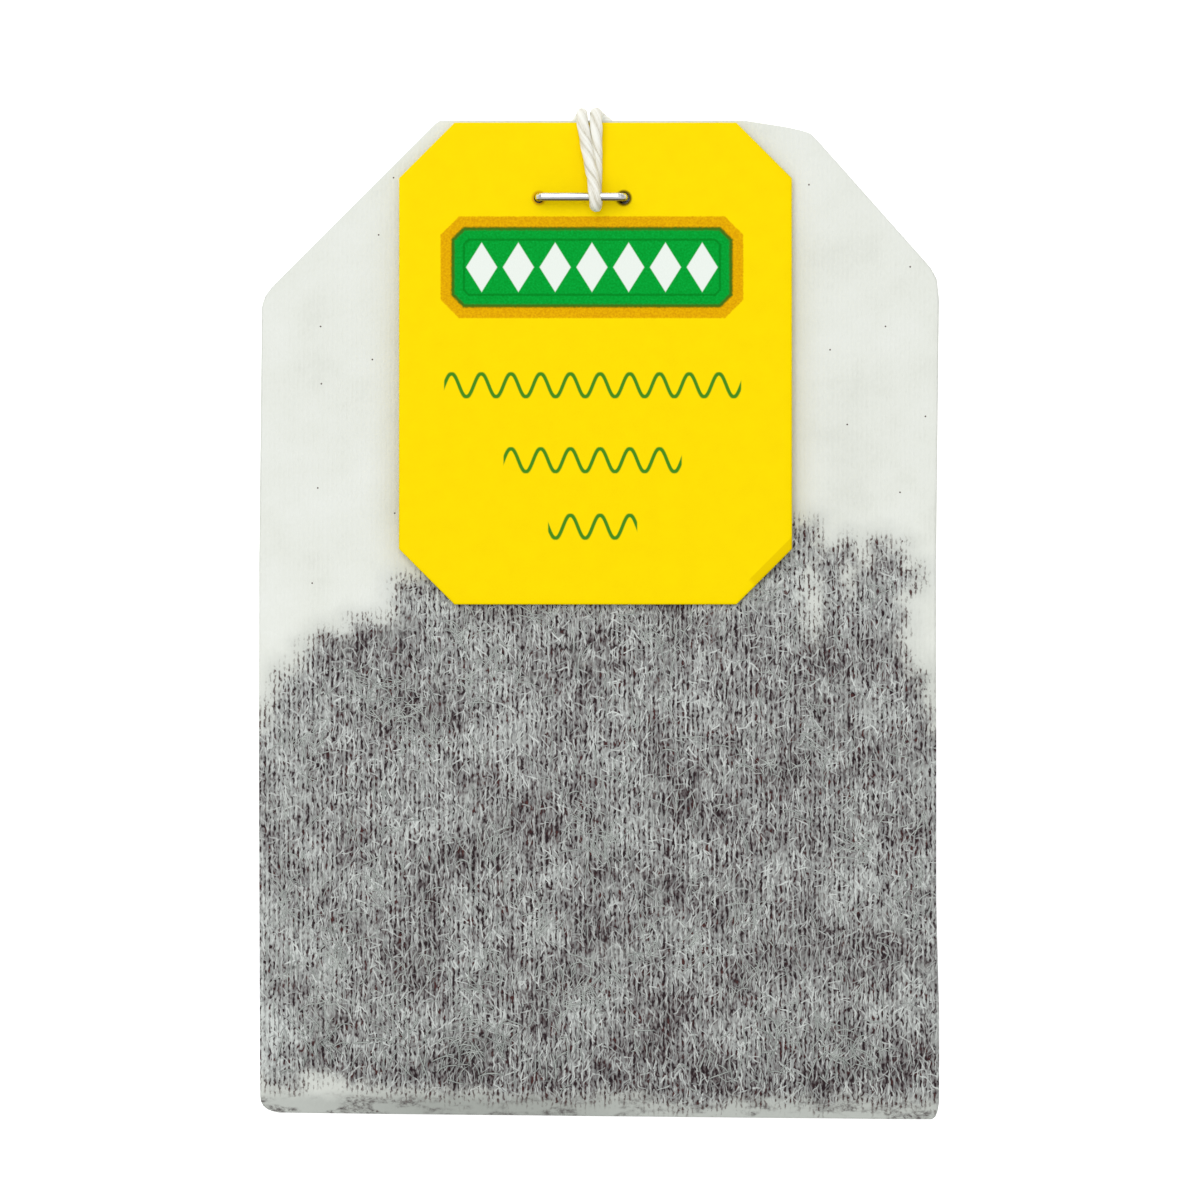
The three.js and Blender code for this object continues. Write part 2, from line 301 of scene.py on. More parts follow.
# ----------------------------------------------------------------------
# String: one length of twisted cotton, doubled
# ----------------------------------------------------------------------
BIGHT_RADIUS = 0.65
STRING_DIAMETER = 0.7
TABLE = 0.37  # centre of a strand that lies on the table
HELD = 1.02  # and of one under the bag staple's crown
STRING_ROUTE = [
    # From the bag staple down the back, round a turn and up again.
    (-1.1, 31.6, HELD), (-1.1, 28.5, HELD), (-1.15, 24.5, 0.7), (-1.2, 20, TABLE), (-1.2, 12, TABLE),
    (-1.2, 5.2, TABLE), (-1.6, 4.0, TABLE), (-2.55, 3.5, TABLE), (-3.5, 4.0, TABLE),
    (-3.9, 5.2, TABLE), (-3.9, 12, TABLE), (-3.9, 21, TABLE), (-3.8, 29, 0.42), (-3.2, 32.3, 0.55),
    (-2.1, 34.8, 0.65),
    # Over the top edge and up on to the staple's wire.
    (-1.35, 35.85, 1.3), (-1.22, 35.9, 2.5), (-1.2, 35.85, 3.8), (-1.18, 35.3, 4.5),
    (-0.95, 33.9, 4.68), (-0.68, 32.4, 5.05), (-0.42, 31.0, 5.45),
    # Round the wire.
    (-0.34, 30.25, WIRE_Z + 0.57), (-0.31, STAPLE_Y, WIRE_Z + BIGHT_RADIUS),
    (-0.25, 29.35, WIRE_Z + 0.42), (-0.22, 29.2, WIRE_Z), (-0.2, 29.35, WIRE_Z - 0.42),
    (-0.18, STAPLE_Y, WIRE_Z - BIGHT_RADIUS),
    # Back over the top edge.
    (-0.2, 32.5, 4.5), (-0.2, 35.3, 4.5), (-0.2, 35.85, 3.8), (-0.2, 35.9, 2.5), (0.1, 35.85, 1.3),
    (1.4, 34.8, 0.65),
    # Down the back, round a second turn and up to the bag staple.
    (3.1, 32.3, 0.55), (3.8, 29, 0.42), (3.9, 21, TABLE), (3.9, 12, TABLE), (3.9, 4.2, TABLE),
    (3.5, 3.0, TABLE), (2.55, 2.5, TABLE), (1.6, 3.0, TABLE), (1.2, 4.2, TABLE), (1.2, 12, TABLE),
    (1.2, 20, TABLE), (1.15, 24.5, 0.7), (1.1, 28.5, HELD), (1.1, 31.6, HELD),
]
PLY_COUNT = 3
STREAK_COUNT = 8  # finer yarns seen round the string
PLY_PITCH = -4.8  # left-handed
PLY_RADIUS = 0.43  # the plies open out a little over the tag
BIGHT_PLY_RADIUS = 0.40  # and are pulled tighter round the wire
LEAVES_WIRE = (0.4, 1.6)  # along the string from its middle, where they begin and end opening out
CLOSES_UP = (7.0, 11.0)  # and where they begin and end closing up to the string's diameter
RING_STEP = 0.13
RING_SIDES = 40


def catmull_rom(points, step):
    """Centripetal Catmull-Rom curve through the points, resampled about every step."""
    knots = [Vector(p) for p in points]
    knots = [2 * knots[0] - knots[1], *knots, 2 * knots[-1] - knots[-2]]
    curve = []
    for p0, p1, p2, p3 in zip(knots, knots[1:], knots[2:], knots[3:]):
        t1 = (p1 - p0).length ** 0.5
        t2 = t1 + (p2 - p1).length ** 0.5
        t3 = t2 + (p3 - p2).length ** 0.5
        count = max(2, round((p2 - p1).length / step))
        for i in range(count):
            t = mix(t1, t2, i / count)
            a1 = p0.lerp(p1, t / t1)
            a2 = p1.lerp(p2, (t - t1) / (t2 - t1))
            a3 = p2.lerp(p3, (t - t2) / (t3 - t2))
            b1 = a1.lerp(a2, t / t2)
            b2 = a2.lerp(a3, (t - t1) / (t3 - t1))
            curve.append(b1.lerp(b2, (t - t1) / (t2 - t1)))
    curve.append(knots[-2])
    return curve


def sweep(curve, sides, radius):
    """Vertices and faces of a closed tube; radius(angle, length) gives its section in mm."""
    verts, faces = [], []
    across = None
    length = 0.0
    last = len(curve) - 1
    for i, point in enumerate(curve):
        along = (curve[min(i + 1, last)] - curve[max(i - 1, 0)]).normalized()
        if across is None:
            across = along.orthogonal()
        across = (across - along * across.dot(along)).normalized()
        other = along.cross(across)
        if i:
            length += (point - curve[i - 1]).length
        for s in range(sides):
            angle = 2 * math.pi * s / sides
            reach = radius(angle, length)
            verts.append(point + across * reach * math.cos(angle) + other * reach * math.sin(angle))
    for i in range(last):
        for s in range(sides):
            a = i * sides + s
            b = i * sides + (s + 1) % sides
            faces.append((a, b, b + sides, a + sides))
    faces.append(tuple(reversed(range(sides))))
    faces.append(tuple(range(last * sides, (last + 1) * sides)))
    return verts, faces, length


def make_string():
    curve = catmull_rom(STRING_ROUTE, RING_STEP)
    half = sum((b - a).length for a, b in zip(curve, curve[1:])) / 2
    groove_shades_and_yarn = []

    def section(angle, length):
        turn = angle - 2 * math.pi * length / PLY_PITCH
        lobe = abs(math.cos(turn * PLY_COUNT / 2)) ** 0.5
        from_bight = abs(length - half)
        size = mix(BIGHT_PLY_RADIUS, PLY_RADIUS, smoothstep(*LEAVES_WIRE, from_bight))
        size = mix(size, STRING_DIAMETER / 2, smoothstep(*CLOSES_UP, from_bight))
        yarn = noise.noise(Vector((math.cos(turn) * 3, math.sin(turn) * 3, length * 0.35)))
        slub = 0.04 * noise.noise(Vector((length * 0.5, 7.0, 3.0)))
        streak = math.cos(turn * STREAK_COUNT + 6 * yarn)
        # Painted shade, darkest in the grooves between the plies and between the finer yarns, with yarn
        # tone that varies at random
        groove_shades_and_yarn.append(0.55 * lobe + 0.16 * streak + 0.5 * yarn)
        return size * (0.84 + 0.16 * lobe) + 0.05 * yarn + slub

    verts, faces, length = sweep(curve, RING_SIDES, section)
    piece = mesh_object("cotton_string", verts, faces)
    point_layer(piece, "groove_shade_and_yarn", groove_shades_and_yarn)
    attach(piece, "root")
    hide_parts("string")
    cotton = Material("cotton", Roughness=0.9, Specular_IOR_Level=0.1)
    fibre = cotton.noise(cotton.vector("MULTIPLY", cotton.mm, (12, 3.5, 12)), detail=3, rough=0.6)
    # Fibre tone added to the painted shade of the grooves and the yarn tone
    tone = cotton.math("MULTIPLY_ADD", fibre, 0.5, cotton.attribute("groove_shade_and_yarn"))
    cotton.set("Base Color", cotton.colours(tone, [
        (0.25, srgb(204, 199, 180)), (0.55, srgb(235, 233, 221)), (0.9, srgb(249, 249, 241)),
    ]))
    cotton.bump(fibre, 0.5, 0.05)
    piece.data.materials.append(cotton.data)


make_string()

# ----------------------------------------------------------------------
# Filter paper
# ----------------------------------------------------------------------
HALF = PAPER_HIGH[0]
TOP = PAPER_HIGH[1]
BOTTOM = PAPER_LOW[1]
# The paper's outline on each side, as (y, x) from the bottom up
LEFT_EDGE = [
    (-35.4, -22.7), (-35.36, -23.0), (-35.25, -23.35), (-35.1, -23.6), (-34.9, -23.82), (-34.6, -23.97),
    (-34.2, -24.02), (-10, -24.1), (4, -24.1), (22.3, -23.9), (23.0, -23.65), (23.6, -23.2),
    (35.1, -11.7), (35.4, -11.3),
]
RIGHT_EDGE = [
    (-35.4, 23.6), (-35.2, 23.85), (-34.8, 24.0), (-34.2, 24.1), (-28, 24.1), (-20, 23.9), (4, 23.9),
    (22.8, 24.1), (24.2, 23.95), (25.0, 23.5), (34.1, 15.4), (34.5, 15.0), (34.7, 14.4), (34.95, 13.3),
    (35.4, 10.4),
]
BOTTOM_SKEW = 0.25  # the bottom fold climbs this much from the middle to the left corner
SKEW_REACH = 12
MID_PLANE = 2.7
POUCH_GAP = 0.25
FULL = 2.5  # depth of the front pouch over the tea
BACK_EXTRA = 0.45  # how much deeper the back pouch is
FLAT = 0.4  # depth where there is no tea
SIDE_DEPTH = 0.6
GRID_STEP = 0.4
END_STEP = 0.1  # of the rows nearest both ends

# Limits of the tea that shows through the front, as (x, y). They run on past the sides of the bag.
TEA_TOP = [
    (-30.0, -8.5), (-23.9, -7.6), (-23.4, -6.0), (-22.9, -5.0), (-22.6, -3.7), (-21.0, -3.4),
    (-20.9, -2.1), (-20.0, -1.8), (-19.6, -1.0), (-17.7, -0.9), (-17.5, -0.2), (-14.6, -0.1),
    (-14.3, 2.7), (-8.0, 4.5), (8.0, 5.5), (13.7, 6.8), (15.3, 6.8), (15.5, 5.1), (17.1, 5.1),
    (17.4, 5.6), (18.2, 5.5), (18.5, 4.1), (19.2, 3.9), (19.4, 5.6), (20.2, 5.6), (20.5, 5.1),
    (21.4, 5.0), (21.6, 3.6), (22.5, 3.5), (22.5, 2.4), (21.5, 2.0), (21.4, 1.1), (21.8, -0.4),
    (21.2, -1.4), (21.7, -2.3), (22.1, -3.6), (23.1, -3.8), (23.1, -5.7), (23.8, -7.8), (30.0, -9.0),
]
TEA_FOOT = [
    (-30.0, -33.0), (-24.0, -33.0), (-23.4, -33.6), (-21.2, -33.6), (-20.8, -32.7), (-18.4, -32.8),
    (-17.6, -33.4), (-14.5, -33.8), (-11.6, -33.8), (-10.2, -34.2), (-8.8, -33.8), (-6.7, -34.1),
    (-4.5, -34.0), (-3.1, -34.3), (-0.3, -34.1), (0.9, -33.9), (2.9, -33.9), (4.3, -34.5),
    (6.9, -34.8), (8.6, -34.5), (10.0, -34.2), (14.3, -34.1), (15.7, -34.7), (17.1, -34.0),
    (20.0, -34.3), (30.0, -34.1),
]
TEA_OUTLINE = TEA_TOP + TEA_FOOT[::-1]
PALE_PATCHES = [(15.1, 1.2, 0.5, 1.6), (17.6, 3.1, 0.25, 0.5)]  # bare spots: centre and half size
FAR = 4.0  # distances to the tea's limits are capped at this
FOOT_FOLD = -33.9  # the empty strip below it turns under
FRONT_SEED = 1.0
BACK_SEED = 20.0


def left_edge(y):
    return interpolate(LEFT_EDGE, y)


def right_edge(y):
    return interpolate(RIGHT_EDGE, y)


def depth(u, y, full):
    """Depth of a pouch at u, -1 to 1 across it, and y along it: it fills up over the first 7 mm
    from the bottom fold, and runs out between y = -12 and y = 9."""
    filled = smoothstep(BOTTOM - 1.5, BOTTOM + 7, y) * (1 - smoothstep(-12, 9, y))
    crown = mix(FLAT, full, filled)
    side = mix(FLAT, SIDE_DEPTH, filled)
    return mix(side, crown, max(0.0, 1 - u ** 4) ** 0.8)


def segment_distance(x, y, start, end):
    """Distance from x, y to the straight line between two points."""
    dx, dy = end[0] - start[0], end[1] - start[1]
    t = ((x - start[0]) * dx + (y - start[1]) * dy) / (dx * dx + dy * dy)
    t = min(max(t, 0.0), 1.0)
    return math.hypot(x - start[0] - t * dx, y - start[1] - t * dy)


@functools.lru_cache(maxsize=None)
def tea_distance(x, y):
    """How far inside the tea's limits a point is, in mm, negative outside."""
    nearest = FAR
    inside = False
    for start, end in zip(TEA_OUTLINE, TEA_OUTLINE[1:] + TEA_OUTLINE[:1]):
        nearest = min(nearest, segment_distance(x, y, start, end))
        if (start[1] > y) != (end[1] > y):
            crossing = mix(start[0], end[0], (y - start[1]) / (end[1] - start[1]))
            inside = inside != (x < crossing)
    distance = nearest if inside else -nearest
    for cx, cy, rx, ry in PALE_PATCHES:
        distance = min(distance, (math.hypot((x - cx) / rx, (y - cy) / ry) - 1) * rx)
    return max(distance, -FAR)


def lumps(x, y, seed, u):
    """Uneven rise of the paper: granules and clumps where there is tea, soft wrinkles elsewhere."""
    tea = smoothstep(-1.0, 1.5, tea_distance(x, y))
    clump = noise.noise(Vector((x * 0.13, y * 0.13, seed)))
    grain = noise.noise(Vector((x * 0.45, y * 0.38, seed + 5)))
    wrinkle = noise.noise(Vector((x * 0.10 + y * 0.06, y * 0.07 - x * 0.04, seed + 9)))
    edge = 1 - abs(u) ** 6
    return edge * (tea * (0.16 * clump + 0.07 * grain) + (1 - tea) * 0.10 * (wrinkle + 0.5))


def row_heights():
    """Rows of the paper's grid, closer together near both ends, where its outline turns."""
    heights = [BOTTOM]
    while heights[-1] < TOP - 1e-6:
        to_end = min(heights[-1] - BOTTOM, TOP - heights[-1])
        step = mix(END_STEP, GRID_STEP, smoothstep(1.2, 2.2, to_end))
        heights.append(min(heights[-1] + step, TOP))
    return heights


def front_height(x, y):
    """Height of the front pouch's outer face."""
    left, right = left_edge(y), right_edge(y)
    u = min(max(2 * (x - left) / (right - left) - 1, -1.0), 1.0)
    return MID_PLANE + POUCH_GAP / 2 + depth(u, y, FULL) + lumps(x, y, FRONT_SEED, u)


def pouch(name, floor, roof):
    """A closed pouch between two height fields, its columns of vertices closer at its sides."""
    heights = row_heights()
    rows = len(heights) - 1
    columns = round(2 * HALF / GRID_STEP)
    verts, faces, tea = [], [], []
    for j, y in enumerate(heights):
        skew = BOTTOM_SKEW * (1 - smoothstep(BOTTOM, BOTTOM + SKEW_REACH, y))
        for side in (-1, 1):
            for i in range(columns + 1):
                u = math.sin(mix(-1, 1, i / columns) * math.pi / 2)
                u = mix(u, mix(-1, 1, i / columns), 0.5)
                x = mix(left_edge(y), right_edge(y), (u + 1) / 2)
                z = roof(u, x, y) if side > 0 else floor(u, x, y)
                verts.append((x, y + skew * (1 - x / HALF), z))
                tea.append(tea_distance(x, y))
    span = columns + 1

    def at(j, side, i):
        return (2 * j + side) * span + i

    for j in range(rows):
        for i in range(columns):
            faces.append((at(j, 1, i), at(j, 1, i + 1), at(j + 1, 1, i + 1), at(j + 1, 1, i)))
            faces.append((at(j, 0, i + 1), at(j, 0, i), at(j + 1, 0, i), at(j + 1, 0, i + 1)))
        faces.append((at(j, 0, 0), at(j, 1, 0), at(j + 1, 1, 0), at(j + 1, 0, 0)))
        faces.append((at(j, 1, columns), at(j, 0, columns),
                      at(j + 1, 0, columns), at(j + 1, 1, columns)))
    for i in range(columns):
        faces.append((at(0, 0, i), at(0, 0, i + 1), at(0, 1, i + 1), at(0, 1, i)))
        faces.append((at(rows, 0, i + 1), at(rows, 0, i), at(rows, 1, i), at(rows, 1, i + 1)))
    piece = mesh_object(name, verts, faces)
    point_layer(piece, "tea", tea)
    return piece


LINE_PITCH = 0.344  # between the paper's upright lines of fibre
TAG_SHADE = 2.4  # reach of the tag's yellow shade on the paper
# Layers of pale fibres over the tea: size of a cell, lean, half width and length of its fibre.
FIBRE_LAYERS = [
    ((0.60, 1.1), 0.16, 0.058, 1.1),
    ((0.90, 0.8), 1.50, 0.056, 0.8),
    ((0.54, 0.9), 0.22, 0.056, 0.9),
    ((1.20, 1.1), 1.45, 0.062, 1.1),
    ((0.80, 1.0), 0.80, 0.060, 1.0),
]


class PaperMaterial(Material):
    """Thin fibrous paper: pale where it is empty, and where tea lies behind it a mat of pale fibres
    over the dark leaf, which shows through the upright gaps between them."""

    def __init__(self):
        super().__init__("filter_paper", Roughness=0.85, Specular_IOR_Level=0.12)
        self.x, self.y, self.z = self.split(self.mm)
        sway = self.vector("SUBTRACT", self.noise(self.mm, 0.8, 4, 0.6, colour=True), (0.5, 0.5, 0.5))
        self.bent = self.vector("ADD", self.mm, self.vector("SCALE", sway, scale=0.17))
        self.curled = self.vector("ADD", self.mm, self.vector("SCALE", sway, scale=0.6))
        self.weave = self.woven()
        # How far inside the tea's limits a point is, and the same with the limits made ragged
        self.distance = self.attribute("tea")
        self.ragged = self.spread(self.noise(self.mm, 1.1, 3, 0.7), 2.4)
        self.inside = self.math("ADD", self.distance, self.ragged)
        empty = self.empty_paper()
        for layer in (self.tag_shade, self.foot, self.specks):
            empty = layer(empty)
        self.set("Base Color", self.blend(self.ramp(self.inside, -0.5, 0.9), empty, self.leaf()))
        self.bump(self.math("MULTIPLY", self.weave, -1.0), 0.35, 0.10)

    def stretched(self, vector, scale, detail, rough):
        """Noise with a scale of its own along each axis."""
        return self.noise(self.vector("MULTIPLY", vector, scale), 1.0, detail, rough)

    def woven(self):
        """The paper's mesh: above 0 in the gaps between its fibres and below 0 on them."""
        fine = self.stretched(self.bent, (6.2, 3.0, 1.0), 1.0, 0.5)
        streak = self.stretched(self.bent, (5.6, 0.6, 1.0), 1.0, 0.5)
        slanted = self.stretched(self.bent, (4.4, 3.4, 1.0), 2.0, 0.6)
        turn = self.math("MULTIPLY", self.split(self.bent)[0], 2 * math.pi / LINE_PITCH)
        line = self.math("MULTIPLY", self.math("SINE", turn), 0.13)
        return self.total(self.spread(fine, 1.06), self.spread(streak, 0.33),
                          self.spread(slanted, 0.4), line)

    def leaf(self):
        """The paper over the tea."""
        cloud = self.noise(self.mm, 0.24, 4, 0.6)
        contact = self.noise(self.mm, 0.85, 3, 0.6)
        touch = self.ramp(contact, 0.34, 0.58, 0.3, 1.0)
        gap = self.math("MULTIPLY", self.ramp(self.weave, 0.04, 0.22), touch)
        # Paler at the tea's top and at the bag's sides, and darker at the foot, most at the right.
        sparse = self.ramp(self.y, -1.0, 3.0, 0.0, 0.09)
        foot = self.ramp(self.y, -29.0, -33.5, 0.0, -0.14)
        packed = self.math("MULTIPLY", foot, self.ramp(self.x, -12.0, 8.0, 0.5, 1.0))
        right = self.ramp(self.x, 21.5, HALF, 0.0, 0.08)
        left = self.ramp(self.x, -17.5, -HALF, 0.0, 0.22)
        level = self.total(0.42, self.spread(cloud, 1.5), self.spread(contact, -0.3),
                           self.math("MULTIPLY", self.weave, -1.1), sparse, packed, right, left)
        level = self.math("MULTIPLY_ADD", gap, -0.55, level, clamp=True)
        colour = self.colours(level, [
            (0.0, srgb(40, 30, 33)), (0.25, srgb(88, 80, 81)), (0.5, srgb(133, 132, 131)),
            (0.75, srgb(172, 175, 172)), (1.0, srgb(206, 211, 207)),
        ])
        reddish = self.ramp(self.noise(self.mm, 1.1, 2), 0.52, 0.64, 0.0, 0.45)
        colour = self.blend(self.math("MULTIPLY", gap, reddish), colour, srgb(104, 56, 50))
        matted = self.ramp(self.total(cloud, self.spread(contact, -0.6)), 0.35, 0.6, 0.5, 0.95)
        for k, layer in enumerate(FIBRE_LAYERS):
            cover, chance = self.fibres(self.curled, *layer, 3.7 * k)
            pale = self.colours(chance, [
                (0.1, srgb(138, 140, 139)), (0.5, srgb(184, 188, 185)), (0.95, srgb(212, 217, 213)),
            ])
            colour = self.blend(self.math("MULTIPLY", cover, matted), colour, pale)
        haze = self.total(self.noise(self.mm, 0.4, 4, 0.7), packed)
        return self.blend(self.ramp(haze, 0.53, 0.75, 0.0, 0.6), colour, srgb(184, 188, 184))

    def empty_paper(self):
        """Paper with no tea behind it, which greys towards the tea."""
        drift = self.noise(self.mm, 0.16, 3, 0.55)
        tone = self.total(0.54, self.spread(drift, 0.95), self.math("MULTIPLY", self.weave, -0.17))
        colour = self.colours(tone, [
            (0.2, srgb(216, 219, 210)), (0.5, srgb(229, 232, 224)), (0.8, srgb(235, 238, 232)),
        ])
        near = self.math("MULTIPLY_ADD", self.ragged, 0.5, self.distance)
        return self.blend(self.ramp(near, -2.2, 0.1, 0.0, 0.55), colour, srgb(188, 192, 186))

    def tag_shade(self, under):
        """The tag's yellowish shade beside it on the front, weaker towards its top."""
        beside = self.cut_box(self.x, self.y, TAG_CENTRE, TAG_HALF, TAG_CHAMFER)
        shade = self.math("MULTIPLY", self.ramp(beside, TAG_SHADE, 0.0),
                          self.ramp(self.y, 33.0, 20.0, 0.0, 0.3))
        shade = self.math("MULTIPLY", shade, self.math("GREATER_THAN", self.z, MID_PLANE))
        return self.blend(shade, under, srgb(206, 203, 176))

    def foot(self, under):
        """The smudged strip that turns under at the bottom fold, greyest about x = -8."""
        fold = self.ramp(self.math("MULTIPLY_ADD", self.ragged, 0.4, self.y),
                         FOOT_FOLD + 1.0, FOOT_FOLD - 0.3)
        blotch = self.stretched(self.mm, (0.4, 1.2, 1.0), 2, 0.5)
        dust = self.stretched(self.bent, (2.6, 4.2, 1.0), 4, 0.7)
        smudge = self.math("MULTIPLY", self.ramp(blotch, 0.44, 0.6), self.ramp(dust, 0.36, 0.7))
        side = self.ramp(self.away(self.x, -8.0), 3.0, 14.0)
        clean = self.blend(side, srgb(166, 170, 164), srgb(189, 193, 187))
        return self.blend(fold, under, self.blend(smudge, clean, srgb(92, 87, 86)))

    def specks(self, under):
        """Bits of leaf past the tea's limits, and a few single specks anywhere."""
        stray = self.math("MULTIPLY", self.ramp(self.weave, 0.06, 0.2),
                          self.ramp(self.inside, -1.0, 0.2))
        cell = self.cells(self.vector("MULTIPLY", self.mm, (0.17, 0.17, 0.0)))
        speck = self.math("LESS_THAN", cell["Distance"], 0.010)
        return self.blend(self.math("MAXIMUM", stray, speck), under, srgb(84, 66, 64))


FIBRE_COUNT = 900  # single fibres
WISP_COUNT = 40
WISP_FIBRES = 22
FIBRE_STEPS = 4
FIBRE_TOP = 8  # no fibre starts above this
FIBRE_MARGIN = 0.3  # how far inside the tea's limits every fibre stays
SIDE_MARGIN = 0.2  # and how far from the paper's edges
SINGLE_START = 0.9  # how far inside the tea's limits a single fibre starts
WISP_START = 2.0  # and the middle of a wisp
FIBRE_SINK = 0.01


class Fibres:
    """Loose pale fibres that lie on the front of the paper over the tea."""

    def __init__(self, seed):
        self.dice = random.Random(seed)
        self.verts = []
        self.faces = []

    def spot(self, inside):
        """A point at least this far inside the tea's limits."""
        while True:
            x = self.dice.uniform(-HALF + 0.5, HALF - 0.5)
            y = self.dice.uniform(BOTTOM + 1.0, FIBRE_TOP)
            if tea_distance(x, y) > inside:
                return x, y

    def add(self, x, y, heading, length, curl, radius):
        """One three-sided fibre from x, y; curl is how much it turns per mm. None goes over the
        empty paper or past its edges."""
        base = len(self.verts)
        step = length / FIBRE_STEPS
        rings = []
        for k in range(FIBRE_STEPS + 1):
            to_edge = min(x - left_edge(y), right_edge(y) - x)
            if tea_distance(x, y) < FIBRE_MARGIN or to_edge <= SIDE_MARGIN:
                return
            thin = radius * (0.5 if k in (0, FIBRE_STEPS) else 1.0)
            side = Vector((-math.sin(heading), math.cos(heading), 0)) * thin
            point = Vector((x, y, front_height(x, y) - FIBRE_SINK))
            rings += [point + side, point - side, point + Vector((0, 0, thin * 1.3))]
            heading += curl * step + self.dice.gauss(0, 0.12)
            x += math.cos(heading) * step
            y += math.sin(heading) * step
        self.verts += rings
        for k in range(FIBRE_STEPS):
            a = base + 3 * k
            for i, j in ((0, 1), (1, 2), (2, 0)):
                self.faces.append((a + i, a + j, a + j + 3, a + i + 3))
        end = base + 3 * FIBRE_STEPS
        self.faces += [(base + 2, base + 1, base), (end, end + 1, end + 2)]

    def scatter(self):
        dice = self.dice
        for _ in range(FIBRE_COUNT):
            x, y = self.spot(SINGLE_START)
            upright = dice.random() < 0.5
            heading = math.pi / 2 + (dice.gauss(0, 0.15) if upright else dice.uniform(-1.6, 1.6))
            curl = dice.gauss(0, 0.1 if upright else 0.8)
            self.add(x, y, heading, dice.uniform(0.7, 2.2), curl, dice.uniform(0.04, 0.062))

    def wisps(self):
        """Thicker tufts of fibres that run roughly the same way."""
        dice = self.dice
        for _ in range(WISP_COUNT):
            x, y = self.spot(WISP_START)
            lean = dice.uniform(-1.3, 1.3)
            curl = dice.gauss(0, 0.35)
            for _ in range(WISP_FIBRES):
                self.add(x + dice.gauss(0, 0.8), y + dice.gauss(0, 1.0),
                         math.pi / 2 + dice.gauss(lean, 0.45), dice.uniform(0.7, 2.0),
                         curl + dice.gauss(0, 0.6), dice.uniform(0.035, 0.06))


def make_fibres():
    fibres = Fibres(11)
    fibres.scatter()
    fibres.wisps()
    piece = mesh_object("paper_fibres", fibres.verts, fibres.faces)
    pale = Material("fibre", Roughness=0.8, Specular_IOR_Level=0.12)
    tone = pale.noise(pale.mm, 0.9, 3)
    pale.set("Base Color", pale.colours(tone, [
        (0.3, srgb(160, 165, 161)), (0.7, srgb(190, 195, 190)),
    ]))
    piece.data.materials.append(pale.data)
    return piece


SET_BACK = 0.06  # the folds stand back this far, so that none shows past the front pouch
FOLD_FOOT = 22.7
FOLD_HEAD = TOP - SET_BACK
FOLD_SEAM = 0.35
CORNER_FOLD = (1.9, 2.1, 1.6)  # heights of its faces, and x of its inner edge
TOP_FLAP = (1.45, 1.8, 10.0, 1.9)  # heights of its faces, its length and half its width at the tip
GUSSET_HEIGHT = 10.0
GUSSET_GROOVE = 0.8  # the gusset stands back this far from the sides and the bottom
FOLD_SWELL = 0.05  # how uneven the folded corners lie
FLAP_SWELL = 0.04
PLATE_CUTS = 7


def left_fold(inset):
    points = [(-23.9, FOLD_FOOT), (-23.2, 23.6), (-11.7, 35.1), (-11.3, FOLD_HEAD)]
    return [(x + inset + SET_BACK, y) for x, y in points]


def right_fold(inset):
    points = [
        (24.1, FOLD_FOOT), (23.5, 24.9), (15.1, 34.3), (14.2, 34.6), (12.2, 34.9), (9.7, FOLD_HEAD),
    ]
    return [(x - inset - SET_BACK, y) for x, y in points]


def face_number(face):
    """A number of each face's own, as bmesh can list the same faces in a new order each run."""
    number = 0
    for index in sorted(vert.index for vert in face.verts):
        number = number * 10000 + index
    return number


def plate(name, outline, z0, z1, swell=0.0):
    """A layer of paper with the given outline, from z0 to z1, and uneven by swell."""
    mesh = bmesh.new()
    face = mesh.faces.new([mesh.verts.new((x, y, z0)) for x, y in outline])
    bmesh.ops.triangulate(mesh, faces=[face])
    bmesh.ops.subdivide_edges(mesh, edges=mesh.edges[:], cuts=PLATE_CUTS, use_grid_fill=True)
    for vert in mesh.verts:
        vert.co.z += swell * noise.noise(Vector((vert.co.x * 0.3, vert.co.y * 0.3, z0)))
    grown = bmesh.ops.extrude_face_region(mesh, geom=mesh.faces[:])
    for item in grown["geom"]:
        if isinstance(item, bmesh.types.BMVert):
            item.co.z += z1 - z0
    bmesh.ops.recalc_face_normals(mesh, faces=mesh.faces[:])
    mesh.verts.index_update()
    mesh.faces.sort(key=face_number)
    piece = bmesh_object(name, mesh)
    point_layer(piece, "tea", [-FAR] * len(piece.data.vertices))
    return piece


